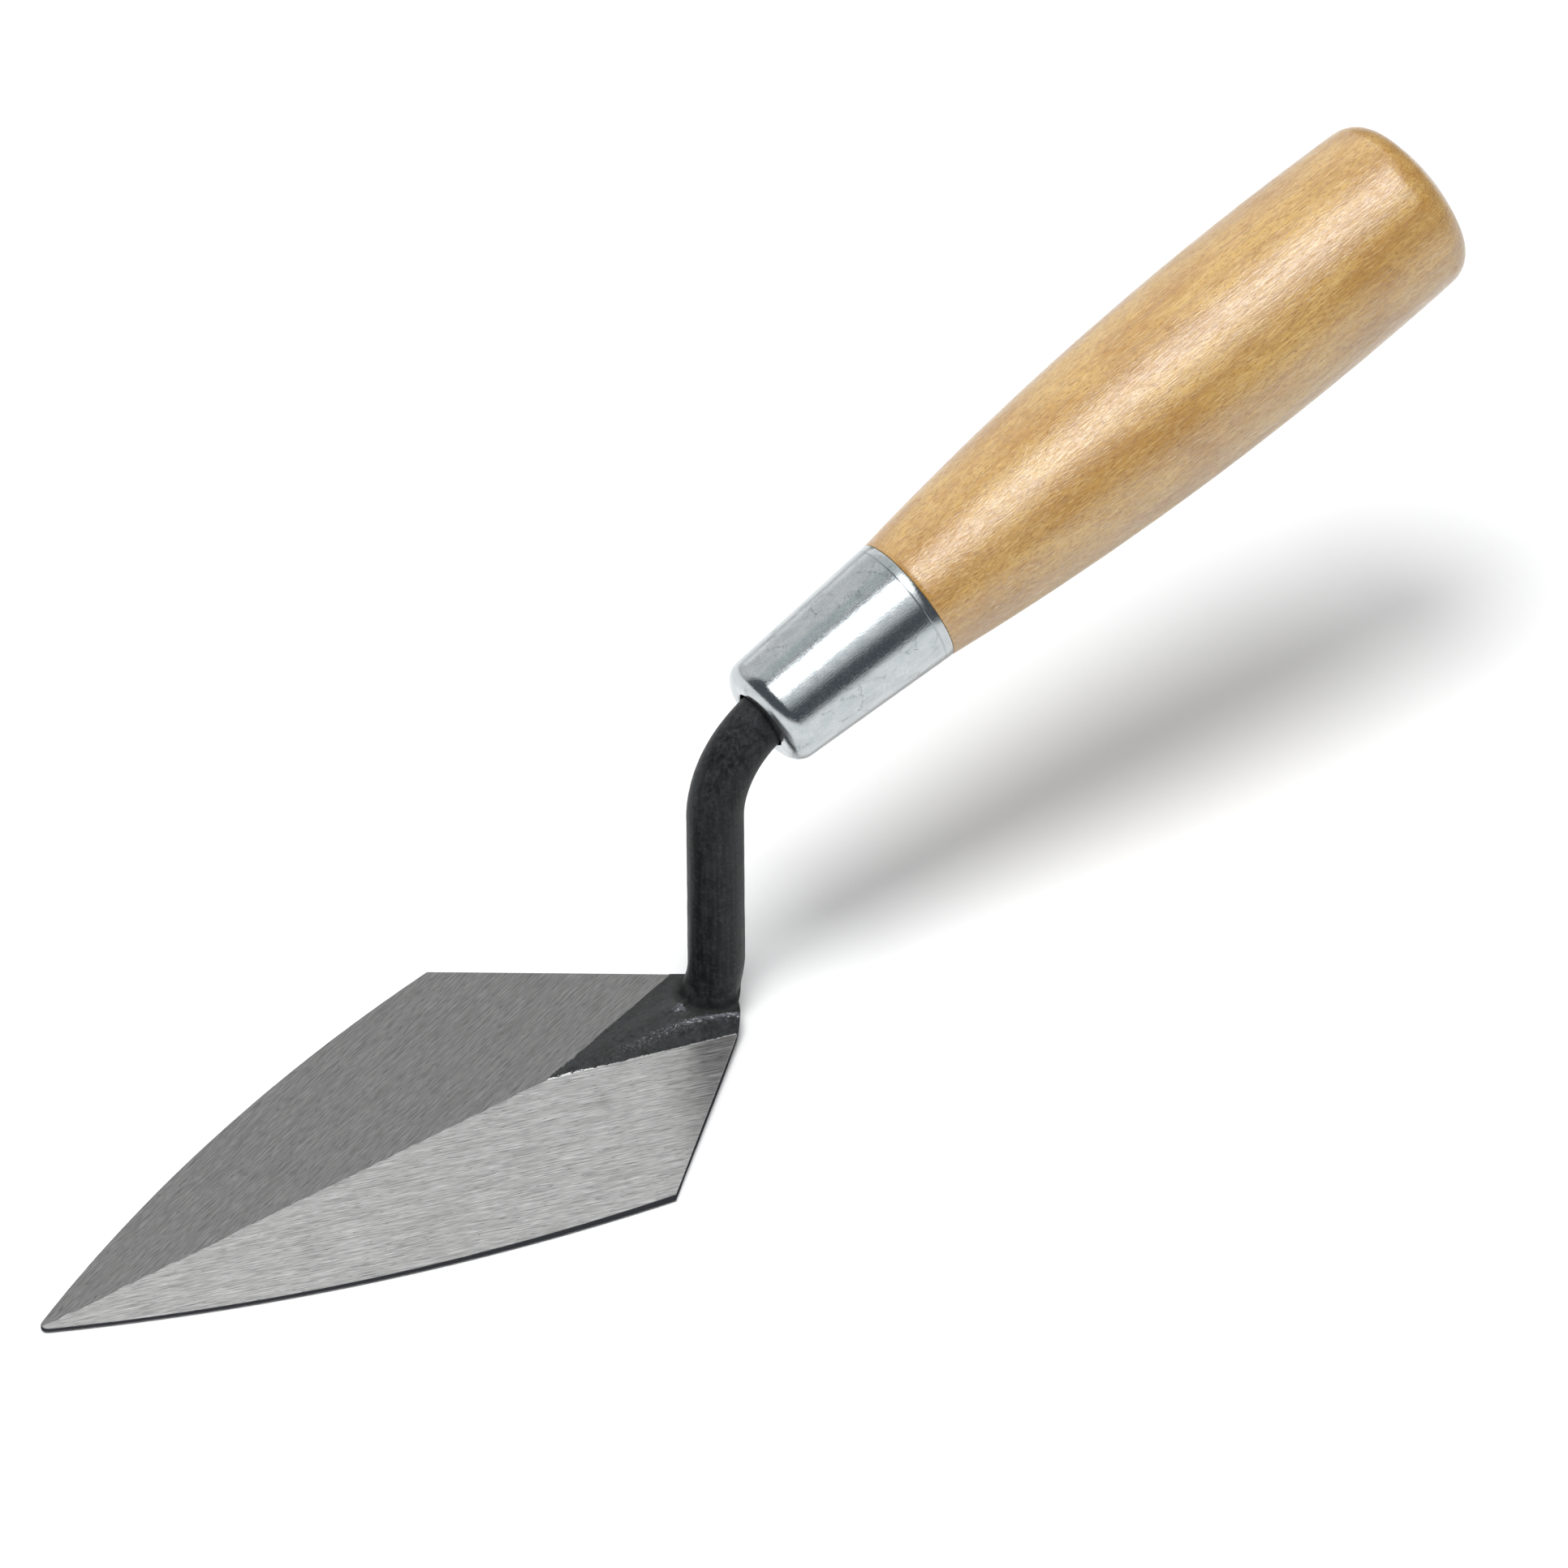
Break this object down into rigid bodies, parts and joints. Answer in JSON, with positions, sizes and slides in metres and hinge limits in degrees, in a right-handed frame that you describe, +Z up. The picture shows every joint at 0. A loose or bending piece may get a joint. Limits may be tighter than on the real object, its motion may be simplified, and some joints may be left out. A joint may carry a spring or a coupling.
{
  "type": "pointing trowel",
  "caption": "Small forged masonry trowel: a kite-shaped blade with a central ridge on a cranked round shank, a rounded metal ferrule and a turned barrel-shaped wooden handle.",
  "frame": {"origin": "on the blade's flat underside, directly below the centreline of the upright shank at the heel", "axes": "+X along the blade to its tip, +Z up out of the blade towards the handle, +Y across the blade; the tool is symmetric about Y = 0"},
  "size_m": [0.2558, 0.0636, 0.1068],
  "materials": {
    "forged_steel": "satin",
    "zinc_plate": "gloss",
    "lacquered_hardwood": "gloss"
  },
  "bodies": {
    "root": {"forged_blade": "forged_steel", "ferrule": "zinc_plate", "handle": "lacquered_hardwood"}
  },
  "joints": []
}
